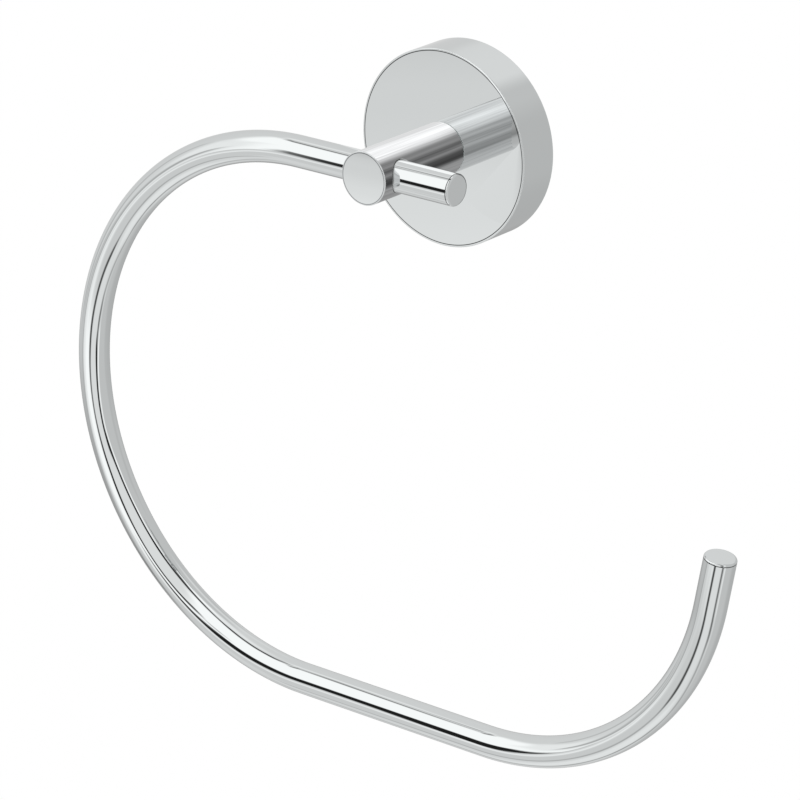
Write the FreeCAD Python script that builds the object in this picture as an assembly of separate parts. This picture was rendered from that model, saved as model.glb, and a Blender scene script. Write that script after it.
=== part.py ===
import FreeCAD, Part
import math
import os

from FreeCAD import Vector

os.makedirs("parts", exist_ok=True)

# Open towel ring on a round wall rose, sizes in millimetres.
# The wall is the plane Y = 0 and everything stands out of it towards -Y. X runs along the wall to the right
# and Z is up. The origin is the centre of the rose's back, so the post's axis is the Y axis.

# Wall rose
ROSE_D = 50.0
ROSE_DEPTH = 11.8
ROSE_RIM_WALL = 2.5
ROSE_FACE_WALL = 3.0
ROSE_FRONT_CHAMFER = 0.35
ROSE_BACK_CHAMFER = 0.3

# Post
POST_D = 13.4
POST_REACH = 42.3
POST_FRONT_CHAMFER = 0.3
POST_BACK_CHAMFER = 0.2
SPIGOT_D = 10.0
SPIGOT_ACROSS_FLATS = 8.0
SPIGOT_LENGTH = 2.0
SPIGOT_CLEARANCE = 0.05

# Ring, a bent round bar. Its centre line lies in one plane parallel to the wall and crosses the post's axis
# square. It starts at the stub, to the right of the post, and ends at the free end.
BAR_D = 8.0
BAR_END_CHAMFER = 0.5
RING_BEHIND_POST_FACE = 7.0
STUB_REACH = 23.0
TOP_RUN = 25.6
LEFT_BEND_R = 70.6
BOTTOM_RUN = 58.2
RIGHT_BEND_R = 67.0
RIGHT_BEND_TURN = 79.5
END_RUN = 13.4
CROSS_BORE_CLEARANCE = 0.05
CROSS_BORE_CHAMFER = 0.15

# Wall bracket, a pressed strip with a flared tab above and below
BRACKET_T = 2.0
BRACKET_W = 32.0
BRACKET_SEAT_H = 32.0
BRACKET_CORNER_R = 4.0
BRACKET_BEND_R = 1.0
TAB_W = 12.0
TAB_DEPTH = 8.6
TAB_FLARE = 15.0
SLOT_SPACING = 20.0
SLOT_W = 4.5
SLOT_LENGTH = 8.0

# Screw and washer that hold the post to the rose
POST_SCREW_D = 6.0
POST_SCREW_HEAD_D = 10.0
POST_SCREW_HEAD_H = 3.4
POST_SCREW_SOCKET = 4.0
POST_SCREW_SOCKET_DEPTH = 2.0
POST_SCREW_HOLE_D = 6.4
WASHER_D = 12.0
WASHER_T = 1.6

# Lock screw inside the post, whose dog point enters a blind hole in the back of the ring's bar
LOCK_SCREW_LENGTH = 8.0
LOCK_SCREW_DOG_D = 3.8
LOCK_SCREW_DOG_LENGTH = 1.1
LOCK_SCREW_SOCKET = 3.0
LOCK_SCREW_SOCKET_DEPTH = 3.0
LOCK_HOLE_D = 4.2
LOCK_HOLE_DEPTH = 1.4
# Free thread inside the post, between the post's screw and the lock screw
SCREWS_APART = 5.15

# Screw that holds the rose to the bracket, from below
ROSE_SCREW_D = 4.0
ROSE_SCREW_LENGTH = 6.0
ROSE_SCREW_OUT = 6.0
ROSE_SCREW_TIP_D = 1.4
ROSE_SCREW_TIP_LENGTH = 1.3
ROSE_SCREW_SOCKET = 2.0
ROSE_SCREW_SOCKET_DEPTH = 2.5

THREAD_CLEARANCE = 0.02
SEAT_CLEARANCE = 0.05

# Boss round the rose screw's hole, and the lug that hooks behind the bracket's upper tab
BOSS_W = 9.0
BOSS_RISE = 2.0
LUG_W = 14.0
LUG_WALL_GAP = 1.0
LUG_THICKNESS = 3.0
LUG_CLEARANCE = 0.1

# Places worked out from the sizes above. A depth is a distance from the wall along -Y.
ROSE_R = ROSE_D / 2
ROSE_INNER_R = ROSE_R - ROSE_RIM_WALL
ROSE_INNER_DEPTH = ROSE_DEPTH - ROSE_FACE_WALL
# Half way into the rim's wall, where the boss and the lug end inside it
ROSE_ROOT_R = ROSE_INNER_R + ROSE_RIM_WALL / 2
ROSE_ROOT_DEPTH = ROSE_INNER_DEPTH + ROSE_FACE_WALL / 2
POST_R = POST_D / 2
BAR_R = BAR_D / 2
RING_OUT = POST_REACH - RING_BEHIND_POST_FACE
POST_THREAD_D = POST_SCREW_D + 2 * THREAD_CLEARANCE
HEAD_SEAT_DEPTH = ROSE_INNER_DEPTH - WASHER_T
LOCK_SCREW_SHOULDER = RING_OUT - BAR_R - SEAT_CLEARANCE
LOCK_SCREW_TIP = LOCK_SCREW_SHOULDER + LOCK_SCREW_DOG_LENGTH
LOCK_SCREW_BACK = LOCK_SCREW_TIP - LOCK_SCREW_LENGTH
TAB_SLOPE = math.tan(math.radians(TAB_FLARE))
TAB_SLANT_T = BRACKET_T / math.cos(math.radians(TAB_FLARE))

# Past this much, a cutter or a raw block stands clear of the face that it cuts through
OVERRUN = 1.0
# Lengths that differ by less than this are the same
SAME = 1e-6

# Directions
TO_RIGHT = Vector(1, 0, 0)
TO_LEFT = Vector(-1, 0, 0)
OUTWARD = Vector(0, -1, 0)
UP = Vector(0, 0, 1)


def on_axis(depth):
    """Point on the post's axis at that depth."""
    return Vector(0, -depth, 0)


def cylinder_out(diameter, depth_from, depth_to):
    """Cylinder on the post's axis between two depths."""
    return Part.makeCylinder(diameter / 2, depth_to - depth_from, on_axis(depth_from), OUTWARD)


def block(x_span, depth_span, z_span):
    """Box from its low and high X, depth and Z."""
    size_x = x_span[1] - x_span[0]
    size_y = depth_span[1] - depth_span[0]
    size_z = z_span[1] - z_span[0]
    return Part.makeBox(size_x, size_y, size_z, Vector(x_span[0], -depth_span[1], z_span[0]))


def side_profile(width, corners):
    """Plate drawn from the side as (depth, height) corners and extruded along X, centred on X = 0."""
    points = [Vector(-width / 2, -depth, height) for depth, height in corners]
    outline = Part.makePolygon(points + points[:1])
    return Part.Face(outline).extrude(TO_RIGHT * width)


def hexagon_socket(across_flats, depth, mouth, inward):
    """Hexagonal cutter whose mouth is centred on a point and which runs inward along a direction."""
    spoke = Vector(across_flats / math.sqrt(3), 0, -OVERRUN)
    corners = [FreeCAD.Rotation(UP, 60 * corner).multVec(spoke) for corner in range(6)]
    prism = Part.Face(Part.makePolygon(corners + corners[:1])).extrude(UP * (depth + OVERRUN))
    prism.Placement = FreeCAD.Placement(mouth, FreeCAD.Rotation(UP, inward))
    return prism


def circle_edges(shape, radius, centre):
    """Circular edges of that radius about that centre."""
    found = []
    for edge in shape.Edges:
        if not isinstance(edge.Curve, Part.Circle):
            continue
        if abs(edge.Curve.Radius - radius) < SAME and edge.Curve.Center.distanceToPoint(centre) < SAME:
            found.append(edge)
    return found


def tab_outer_height(depth):
    """Height of the upper tab's outer face, which leans away from the post's axis with depth."""
    return BRACKET_SEAT_H / 2 + depth * TAB_SLOPE


def rose_cup():
    """Cup of the rose, open at the wall, with small chamfers at both ends of its rim."""
    cup = cylinder_out(ROSE_D, 0, ROSE_DEPTH)
    cup = cup.makeChamfer(ROSE_FRONT_CHAMFER, circle_edges(cup, ROSE_R, on_axis(ROSE_DEPTH)))
    cup = cup.makeChamfer(ROSE_BACK_CHAMFER, circle_edges(cup, ROSE_R, on_axis(0)))
    return cup.cut(cylinder_out(2 * ROSE_INNER_R, -OVERRUN, ROSE_INNER_DEPTH))


def rose_screw_boss():
    """Pad inside the bottom of the rim that gives the rose's screw a longer thread."""
    half = BOSS_W / 2
    depths = (ROSE_SCREW_OUT - half, ROSE_ROOT_DEPTH)
    pad = block((-half, half), depths, (-ROSE_R, BOSS_RISE - ROSE_INNER_R))
    return pad.common(cylinder_out(2 * ROSE_ROOT_R, 0, ROSE_DEPTH))


def rose_lug():
    """Lug inside the top of the rim. Its sloped underside catches behind the bracket's upper tab."""
    near = LUG_WALL_GAP
    far = LUG_WALL_GAP + LUG_THICKNESS
    corners = [
        (near, tab_outer_height(near) + LUG_CLEARANCE),
        (far, tab_outer_height(far) + LUG_CLEARANCE),
        (far, ROSE_R),
        (near, ROSE_R),
    ]
    return side_profile(LUG_W, corners).common(cylinder_out(2 * ROSE_ROOT_R, 0, ROSE_DEPTH))


def keyed_bar(clearance, depth_from, depth_to):
    """Round bar with two flats, above and below, that keys the post to the rose."""
    bar = cylinder_out(SPIGOT_D + 2 * clearance, depth_from, depth_to)
    half_flat = SPIGOT_ACROSS_FLATS / 2 + clearance
    between_flats = block((-SPIGOT_D, SPIGOT_D), (depth_from, depth_to), (-half_flat, half_flat))
    return bar.common(between_flats)


def wall_rose():
    """Turned cup with a keyed hole for the post in its face, and a boss and a lug inside its rim."""
    rose = rose_cup().fuse([rose_screw_boss(), rose_lug()])
    rose = rose.cut(keyed_bar(SPIGOT_CLEARANCE, ROSE_INNER_DEPTH - OVERRUN, ROSE_DEPTH + OVERRUN))
    hole_r = ROSE_SCREW_D / 2 + THREAD_CLEARANCE
    screw_hole = Part.makeCylinder(hole_r, ROSE_R, Vector(0, -ROSE_SCREW_OUT, -ROSE_R - OVERRUN), UP)
    return rose.cut(screw_hole).removeSplitter()


def post():
    """Turned bar with a keyed spigot at its foot, a cross bore for the ring and a thread up to that bore."""
    bar = cylinder_out(POST_D, ROSE_DEPTH, POST_REACH)
    bar = bar.makeChamfer(POST_FRONT_CHAMFER, circle_edges(bar, POST_R, on_axis(POST_REACH)))
    bar = bar.makeChamfer(POST_BACK_CHAMFER, circle_edges(bar, POST_R, on_axis(ROSE_DEPTH)))
    bar = bar.fuse(keyed_bar(0, ROSE_DEPTH - SPIGOT_LENGTH, ROSE_DEPTH + OVERRUN))
    left_of_post = Vector(-POST_D, -RING_OUT, 0)
    bar = bar.cut(Part.makeCylinder(BAR_R + CROSS_BORE_CLEARANCE, 2 * POST_D, left_of_post, TO_RIGHT))
    bar = bar.removeSplitter()
    bore_mouths = [edge for edge in bar.Edges if isinstance(edge.Curve, Part.BSplineCurve)]
    bar = bar.makeChamfer(CROSS_BORE_CHAMFER, bore_mouths)
    return bar.cut(cylinder_out(POST_THREAD_D, 0, RING_OUT)).removeSplitter()


def bent_bar(radius, start, heading, steps):
    """Round bar carried along straight runs and bends, with the point and direction where it ends.

    A step is (length, 0) for a run or (bend radius, degrees) for a bend. Each bend turns anticlockwise as
    seen from in front, which is a turn about -Y.
    """
    place = start
    pieces = []
    for size, degrees in steps:
        if degrees == 0:
            pieces.append(Part.makeCylinder(radius, size, place, heading))
            place = place + heading * size
            continue
        centre = place + OUTWARD.cross(heading) * size
        disc = Part.Face(Part.Wire(Part.makeCircle(radius, place, heading)))
        pieces.append(disc.revolve(centre, OUTWARD, degrees))
        turn = FreeCAD.Rotation(OUTWARD, degrees)
        place = centre + turn.multVec(place - centre)
        heading = turn.multVec(heading)
    return pieces[0].multiFuse(pieces[1:]).removeSplitter(), place


def ring():
    """Bent bar from the stub, through the post and round to the free end, with both ends chamfered."""
    start = Vector(STUB_REACH, -RING_OUT, 0)
    steps = [
        (STUB_REACH + TOP_RUN, 0),
        (LEFT_BEND_R, 180),
        (BOTTOM_RUN, 0),
        (RIGHT_BEND_R, RIGHT_BEND_TURN),
        (END_RUN, 0),
    ]
    bar, end = bent_bar(BAR_R, start, TO_LEFT, steps)
    bar = bar.makeChamfer(BAR_END_CHAMFER, circle_edges(bar, BAR_R, start))
    bar = bar.makeChamfer(BAR_END_CHAMFER, circle_edges(bar, BAR_R, end))
    behind_bar = RING_OUT - BAR_D
    return bar.cut(cylinder_out(LOCK_HOLE_D, behind_bar, RING_OUT - BAR_R + LOCK_HOLE_DEPTH))


def round_bends(strip, height, depth, radius):
    """Round the two bend lines that run along X at that depth, one above and one below the middle."""
    lines = []
    for edge in strip.Edges:
        middle = edge.BoundBox.Center
        along_x = edge.BoundBox.XLength > TAB_W - OVERRUN
        if along_x and abs(middle.y + depth) < SAME and abs(abs(middle.z) - height) < SAME:
            lines.append(edge)
    return strip.makeFillet(radius, lines)


def slot(x_middle):
    """Cutter for one slotted screw hole that runs along X."""
    reach = (SLOT_LENGTH - SLOT_W) / 2
    depths = (-OVERRUN, BRACKET_T + OVERRUN)
    cutter = block((x_middle - reach, x_middle + reach), depths, (-SLOT_W / 2, SLOT_W / 2))
    for side in (-1, 1):
        round_end = cylinder_out(SLOT_W, *depths)
        round_end.translate(TO_RIGHT * (x_middle + side * reach))
        cutter = cutter.fuse(round_end)
    return cutter


def bracket_seat():
    """Flat plate on the wall with rounded corners."""
    half_w = BRACKET_W / 2
    half_h = BRACKET_SEAT_H / 2 - BRACKET_BEND_R - BRACKET_T
    seat = block((-half_w, half_w), (0, BRACKET_T), (-half_h, half_h))
    corners = [edge for edge in seat.Edges if edge.BoundBox.YLength > BRACKET_T - SAME]
    return seat.makeFillet(BRACKET_CORNER_R, corners)


def wall_bracket():
    """Pressed strip: a slotted seat on the wall and two tabs that flare as they leave it."""
    inner_bend_height = tab_outer_height(BRACKET_T) - TAB_SLANT_T
    upper = [
        (BRACKET_T, inner_bend_height),
        (TAB_DEPTH, tab_outer_height(TAB_DEPTH) - TAB_SLANT_T),
        (TAB_DEPTH, tab_outer_height(TAB_DEPTH)),
        (0, tab_outer_height(0)),
    ]
    lower = [(depth, -height) for depth, height in reversed(upper)]
    strip = side_profile(TAB_W, upper + lower)
    strip = round_bends(strip, tab_outer_height(0), 0, BRACKET_BEND_R + BRACKET_T)
    strip = round_bends(strip, inner_bend_height, BRACKET_T, BRACKET_BEND_R)
    bracket = bracket_seat().fuse(strip).removeSplitter()
    for side in (-1, 1):
        bracket = bracket.cut(slot(side * SLOT_SPACING / 2))
    return bracket


def post_washer():
    """Flat washer between the rose and the head of the post's screw."""
    disc = cylinder_out(WASHER_D, HEAD_SEAT_DEPTH, ROSE_INNER_DEPTH)
    return disc.cut(cylinder_out(POST_SCREW_HOLE_D, HEAD_SEAT_DEPTH - OVERRUN, ROSE_INNER_DEPTH + OVERRUN))


def post_screw():
    """Low-headed screw from inside the rose into the foot of the post."""
    crown = HEAD_SEAT_DEPTH - POST_SCREW_HEAD_H
    head = cylinder_out(POST_SCREW_HEAD_D, crown, HEAD_SEAT_DEPTH)
    shank = cylinder_out(POST_SCREW_D, HEAD_SEAT_DEPTH, LOCK_SCREW_BACK - SCREWS_APART)
    socket = hexagon_socket(POST_SCREW_SOCKET, POST_SCREW_SOCKET_DEPTH, on_axis(crown), OUTWARD)
    return head.fuse(shank).cut(socket)


def lock_screw():
    """Headless screw inside the post whose dog point holds the ring."""
    body = cylinder_out(POST_SCREW_D, LOCK_SCREW_BACK, LOCK_SCREW_SHOULDER)
    dog = cylinder_out(LOCK_SCREW_DOG_D, LOCK_SCREW_SHOULDER - OVERRUN, LOCK_SCREW_TIP)
    socket = hexagon_socket(LOCK_SCREW_SOCKET, LOCK_SCREW_SOCKET_DEPTH, on_axis(LOCK_SCREW_BACK), OUTWARD)
    return body.fuse(dog).cut(socket)


def rose_screw():
    """Headless screw up through the bottom of the rim. Its coned tip bears on the bracket's lower tab."""
    screw_r = ROSE_SCREW_D / 2
    tip_r = ROSE_SCREW_TIP_D / 2
    top = -(tab_outer_height(ROSE_SCREW_OUT) + tip_r * TAB_SLOPE + SEAT_CLEARANCE)
    foot = Vector(0, -ROSE_SCREW_OUT, top - ROSE_SCREW_LENGTH)
    straight = ROSE_SCREW_LENGTH - ROSE_SCREW_TIP_LENGTH
    body = Part.makeCylinder(screw_r, straight, foot, UP)
    cone = Part.makeCone(screw_r, tip_r, ROSE_SCREW_TIP_LENGTH, foot + UP * straight, UP)
    socket = hexagon_socket(ROSE_SCREW_SOCKET, ROSE_SCREW_SOCKET_DEPTH, foot, UP)
    return body.fuse(cone).removeSplitter().cut(socket)


def main():
    """Build every piece and write it to its own file."""
    pieces = {
        "wall_rose": wall_rose(),
        "post": post(),
        "ring": ring(),
        "wall_bracket": wall_bracket(),
        "post_screw": post_screw(),
        "post_washer": post_washer(),
        "lock_screw": lock_screw(),
        "rose_screw": rose_screw(),
    }
    for name, shape in pieces.items():
        shape.exportStep("parts/" + name + ".step")
        print(name, "solids", len(shape.Solids), "valid", shape.isValid(), "mm3", round(shape.Volume, 2))


main()
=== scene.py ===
import math

import bpy
import numpy as np
from bpy.props import FloatProperty, PointerProperty, StringProperty
from bpy.types import Operator, Panel, PropertyGroup
from mathutils import Matrix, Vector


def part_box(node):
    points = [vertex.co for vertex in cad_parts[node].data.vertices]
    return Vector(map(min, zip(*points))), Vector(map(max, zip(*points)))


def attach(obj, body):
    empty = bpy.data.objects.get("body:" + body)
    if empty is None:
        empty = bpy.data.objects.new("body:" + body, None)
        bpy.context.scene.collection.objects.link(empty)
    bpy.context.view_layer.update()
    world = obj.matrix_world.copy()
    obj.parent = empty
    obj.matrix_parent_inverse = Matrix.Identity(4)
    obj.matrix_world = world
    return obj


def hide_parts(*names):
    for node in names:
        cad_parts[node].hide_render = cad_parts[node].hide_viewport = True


bl_info = {
    "name": "Towel Ring",
    "version": (1, 0, 0),
    "blender": (4, 5, 0),
    "location": "View3D > Sidebar > Towel Ring",
    "description": "Open towel ring on a round wall rose, with its fixings and a white studio",
    "category": "Add Mesh",
}

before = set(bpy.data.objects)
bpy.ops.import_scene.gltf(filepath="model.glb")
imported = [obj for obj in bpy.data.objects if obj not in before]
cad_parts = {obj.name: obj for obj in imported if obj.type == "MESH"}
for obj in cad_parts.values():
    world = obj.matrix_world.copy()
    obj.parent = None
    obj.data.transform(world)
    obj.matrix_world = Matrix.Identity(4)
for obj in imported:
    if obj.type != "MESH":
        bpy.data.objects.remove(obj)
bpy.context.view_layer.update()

# The wall is the plane Y = 0, the origin is the centre of the rose's back, and lengths are in metres.
OUT = np.array([0.0, -1.0, 0.0])
RIGHT = np.array([1.0, 0.0, 0.0])
UP = np.array([0.0, 0.0, 1.0])

MM = 0.001
# Points closer together than this are one vertex
WELD = 1e-7
# Stands in for zero where a number divides another
TINY = 1e-9
# How finely surfaces are divided: rows of a polished edge, rows of a plainer one, columns round the bar
EDGE_ROWS = 9
LIP_ROWS = 7
BAR_COLUMNS = 96


def span(node, axis):
    """Lowest and highest place of a node along an axis, 0 for X, 1 for Y and 2 for Z."""
    low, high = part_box(node)
    return low[axis], high[axis]


def width(node, axis):
    """Size of a node along an axis."""
    low, high = span(node, axis)
    return high - low


# Sizes and colours that a user would change


def metres(name, description, default, precision=4):
    """Length that a user can change."""
    return FloatProperty(
        name=name, description=description, default=default, unit="LENGTH", precision=precision
    )


def colour(name, description, default):
    """Colour that a user can change, as an sRGB hex value."""
    return StringProperty(name=name, description=description, default=default)


class TOWELRING_PG_ring(PropertyGroup):
    bar: metres("Bar", "Diameter of the ring's bar", 0.008)
    out: metres("Distance from wall", "From the wall to the bar's centre line", -sum(span("ring", 1)) / 2)
    stub: metres("Stub", "From the post's axis to the bar's short end", 0.023)
    top_run: metres("Top run", "From the post's axis to the left bend", 0.0256)
    left_bend: metres("Left bend", "Radius of the half turn", 0.0706)
    bottom_run: metres("Bottom run", "Straight run between the bends", 0.0582)
    right_bend: metres("Right bend", "Radius of the last bend", 0.067)
    right_turn: FloatProperty(
        name="Right turn",
        description="Turn of the last bend",
        default=math.radians(79.5),
        unit="ROTATION",
        subtype="ANGLE",
    )
    end_run: metres("End run", "Straight run at the free end", 0.0134)
    end_round: metres("End round", "Radius of the round at both ends", 0.0006)


class TOWELRING_PG_post(PropertyGroup):
    diameter: metres("Post", "Diameter of the post", width("post", 0))
    front_round: metres("Front round", "Radius of the round at the post's front edge", 0.0002, 5)
    crown: metres("Crown", "How far polishing has drawn back the edge of the front face", 0.0001, 5)
    bore_round: metres("Bore round", "Radius of the round where the bar enters the post", 0.00025, 5)


class TOWELRING_PG_rose(PropertyGroup):
    diameter: metres("Rose", "Diameter of the wall rose", width("wall_rose", 0))
    rim_wall: metres("Rim wall", "Thickness of the rim", 0.0025)
    face_wall: metres("Face wall", "Thickness of the face", 0.003)
    edge_round: metres("Edge round", "Radius of the round between face and rim", 0.00025, 5)
    crown: metres("Crown", "How far polishing has drawn back the edge of the face", 0.00002, 5)


class TOWELRING_PG_finish(PropertyGroup):
    chrome: colour("Chrome", "Colour of the polished plating", "DBDEDE")
    inside: colour("Inside", "Colour of the unpolished inside", "B9B7B2")
    bracket: colour("Bracket", "Colour of the zinc-plated strip", "A9ACB0")
    screws: colour("Screws", "Colour of the stainless screws", "9FA1A3")


class TOWELRING_PG_stage(PropertyGroup):
    tent: metres("Light tent", "Radius of the light tent", 1.2)
    floor: metres("Floor", "Depth of the floor below the rose", 1.6)


# Surfaces


def circles(centre, along, across, radius, radial, axial, angles):
    """Surface made of one circle per row.

    The point at angle t is centre + radius (cos t across + sin t (along x across)), and its normal is radial
    times the same direction plus axial times along. Everything but the angles has one value per row.
    """
    across, beside = across[:, None], np.cross(along, across)[:, None]
    spoke = np.cos(angles)[None, :, None] * across + np.sin(angles)[None, :, None] * beside
    points = centre[:, None] + radius[:, None, None] * spoke
    return points, radial[:, None, None] * spoke + axial[:, None, None] * along[:, None]


def turned(radius, depth, radial, axial, angles):
    """Surface turned about the post's axis: rows of radius and depth, with the two parts of their normals."""
    radius, depth, radial, axial = np.broadcast_arrays(*np.atleast_1d(radius, depth, radial, axial))
    rows = np.ones((len(radius), 1))
    return circles(depth[:, None] * OUT, rows * OUT, rows * RIGHT, radius, radial, axial, angles)


def domed_end(radius, edge, drop, top, face_rows, edge_rows=EDGE_ROWS, hole=0.0):
    """Rows of a turned end: a quarter round of radius edge, then a face domed by a parabola.

    The face lies at top on the axis and drop lower at its own edge, and the round ends where its slope is the
    face's. Returns the radius, the height along the axis and the two parts of the normal.
    """
    curvature = 2 * drop / (radius - edge) ** 2
    tilt = math.atan(curvature * (radius - edge))
    turn = np.linspace(0, math.pi / 2 - tilt, edge_rows)
    face_edge = radius - edge + edge * math.sin(tilt)
    face_low = top - curvature * face_edge**2 / 2
    face_radius = np.linspace(face_edge, hole, face_rows)
    slope = curvature * face_radius
    length = np.hypot(slope, 1)
    round_radius = radius - edge + edge * np.cos(turn)
    round_height = face_low - edge * math.cos(tilt) + edge * np.sin(turn)
    return (
        np.concatenate([round_radius, face_radius[1:]]),
        np.concatenate([round_height, top - curvature * face_radius[1:] ** 2 / 2]),
        np.concatenate([np.cos(turn), (slope / length)[1:]]),
        np.concatenate([np.sin(turn), (1 / length)[1:]]),
    )


def around(count):
    """Angles once round, with the last on top of the first."""
    return np.linspace(0, 2 * math.pi, count + 1)


def hole_loop(radius, hole, depth, turn):
    """Angle and depth on a cylinder where a round hole drilled square to its axis comes out.

    At turn t the hole's edge is hole sin t round the cylinder's side and hole cos t along its axis, so the
    angle's sine is hole sin t / radius.
    """
    return np.arcsin(hole * np.sin(turn) / radius), depth + hole * np.cos(turn)


def border_loop(half_angle, near, far, across, down):
    """Angle and depth round a strip of a cylinder, from the middle of its far edge, once round.

    The way goes to one side, down it and back to the middle, and its second half mirrors that. There are
    across steps from the middle to a side and down steps along it.
    """
    to_side = np.linspace(0, half_angle, across + 1)
    angle = np.concatenate([to_side, np.full(down, half_angle), to_side[::-1][1:]])
    to_near = np.linspace(far, near, down + 1)[1:]
    depth = np.concatenate([np.full(across + 1, far), to_near, np.full(across, near)])
    return np.concatenate([angle, -angle[1:]]), np.concatenate([depth, depth[::-1][1:]])


def on_cylinder(radius, angle, depth, aim, side):
    """Point on a cylinder about the post's axis, its angle measured from the direction aim towards side."""
    spoke = np.cos(angle)[..., None] * aim + np.sin(angle)[..., None] * side
    return radius * spoke + depth[..., None] * OUT, spoke


def pierced_strip(radius, loop, border, aim, side, rows=14, crowding=1.6):
    """Strip of a cylinder from the edge of a hole out to its border.

    Both are angles and depths, one per column, and each column is a straight line on the unrolled cylinder.
    Its rows lie at shares of the line raised to the power crowding, so they are closer near the hole.
    """
    share = np.linspace(0, 1, rows)[:, None] ** crowding
    angle = loop[0] + share * (border[0] - loop[0])
    depth = loop[1] + share * (border[1] - loop[1])
    return on_cylinder(radius, angle, depth, aim, side)


def lip(radius, hole, depth, edge, turn, aim, side):
    """Small round from a cylinder into a hole drilled across it.

    Each column is a quadratic curve from the cylinder to the hole's wall with its middle point at the sharp
    corner, and the normal goes straight from the one surface's to the other's.
    """
    first, outward = on_cylinder(radius, *hole_loop(radius, hole + edge, depth, turn), aim, side)
    corner, _ = on_cylinder(radius, *hole_loop(radius, hole, depth, turn), aim, side)
    last, _ = on_cylinder(radius - edge, *hole_loop(radius - edge, hole, depth, turn), aim, side)
    to_axis = -(np.sin(turn)[:, None] * side + np.cos(turn)[:, None] * OUT)
    step = np.linspace(0, 1, LIP_ROWS)[:, None, None]
    points = (1 - step) ** 2 * first + 2 * step * (1 - step) * corner + step**2 * last
    normals = (1 - step) * outward + step * to_axis
    return points, normals / np.linalg.norm(normals, axis=-1, keepdims=True)


def joined(first, last, normals):
    """Ruled surface between two rows of points that share their normals."""
    return np.stack([first, last]), np.stack([normals, normals])


def back_edge(radius, edge, depth, angles):
    """Quarter round of radius edge from a turned piece's side in to its flat back at depth.

    At angle t it is edge (1 - cos t) in from the side and edge (1 - sin t) out from the back.
    """
    turn = np.linspace(0, math.pi / 2, LIP_ROWS)
    rows = (radius - edge + edge * np.cos(turn), depth + edge - edge * np.sin(turn))
    return turned(*rows, np.cos(turn), -np.sin(turn), angles)


def cells(rows, columns, order):
    """Faces of a grid of points, each with its cell's corners in an order, from 0 to 3 round the cell."""
    index = np.arange(rows * columns).reshape(rows, columns)
    corners = (index[:-1, :-1], index[1:, :-1], index[1:, 1:], index[:-1, 1:])
    return np.stack([corners[place] for place in order], -1)


def sewn(name, patches, charts=None):
    """Closed mesh from patches, each a grid of points and normals with the number of its material.

    Every cell of a grid becomes two triangles, turned so that they face the way their normals do. Points
    that lie together become one vertex, triangles with no area go, and each corner keeps its own normal.
    """
    points = np.concatenate([patch[0].reshape(-1, 3) for patch in patches])
    normals = np.concatenate([patch[1].reshape(-1, 3) for patch in patches])
    corners, finish = [], []
    start = 0
    for patch in patches:
        rows, columns = patch[0].shape[:2]
        corners.append(start + cells(rows, columns, (0, 1, 2, 0, 2, 3)).reshape(-1, 3))
        finish.append(np.full(len(corners[-1]), patch[2] if len(patch) > 2 else 0))
        start += rows * columns
    corners, finish = np.concatenate(corners), np.concatenate(finish)
    one, two, three = points[corners].transpose(1, 0, 2)
    turned_back = (np.cross(two - one, three - one) * normals[corners].sum(1)).sum(-1) < 0
    corners[turned_back] = corners[turned_back][:, ::-1]
    spots = np.round(points / WELD).astype(np.int64)
    _, first, vertex = np.unique(spots, axis=0, return_index=True, return_inverse=True)
    triangles = vertex.reshape(-1)[corners]
    real = (triangles != np.roll(triangles, 1, axis=1)).all(1)
    corners, triangles, finish = corners[real], triangles[real], finish[real]
    edges = np.sort(np.stack([triangles, np.roll(triangles, 1, axis=1)], -1).reshape(-1, 2), axis=1)
    if (np.unique(edges, axis=0, return_counts=True)[1] != 2).any():
        raise RuntimeError(name + " isn't closed")
    mesh = bpy.data.meshes.new(name)
    mesh.vertices.add(len(first))
    mesh.vertices.foreach_set("co", points[first].ravel())
    mesh.loops.add(triangles.size)
    mesh.loops.foreach_set("vertex_index", triangles.ravel())
    mesh.polygons.add(len(triangles))
    mesh.polygons.foreach_set("loop_start", np.arange(0, triangles.size, 3))
    mesh.polygons.foreach_set("material_index", finish)
    mesh.update(calc_edges=True)
    mesh.shade_smooth()
    if charts is not None:
        layer = mesh.uv_layers.new(name="Surface")
        layer.data.foreach_set("uv", charts.reshape(-1, 2)[corners].ravel())
    mesh.normals_split_custom_set(normals[corners].reshape(-1, 3))
    return shown(name, mesh)


def shown(name, data):
    """Object at the origin that shows a mesh, or holds a camera."""
    piece = bpy.data.objects.new(name, data)
    bpy.context.scene.collection.objects.link(piece)
    return piece


# The ring


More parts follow.
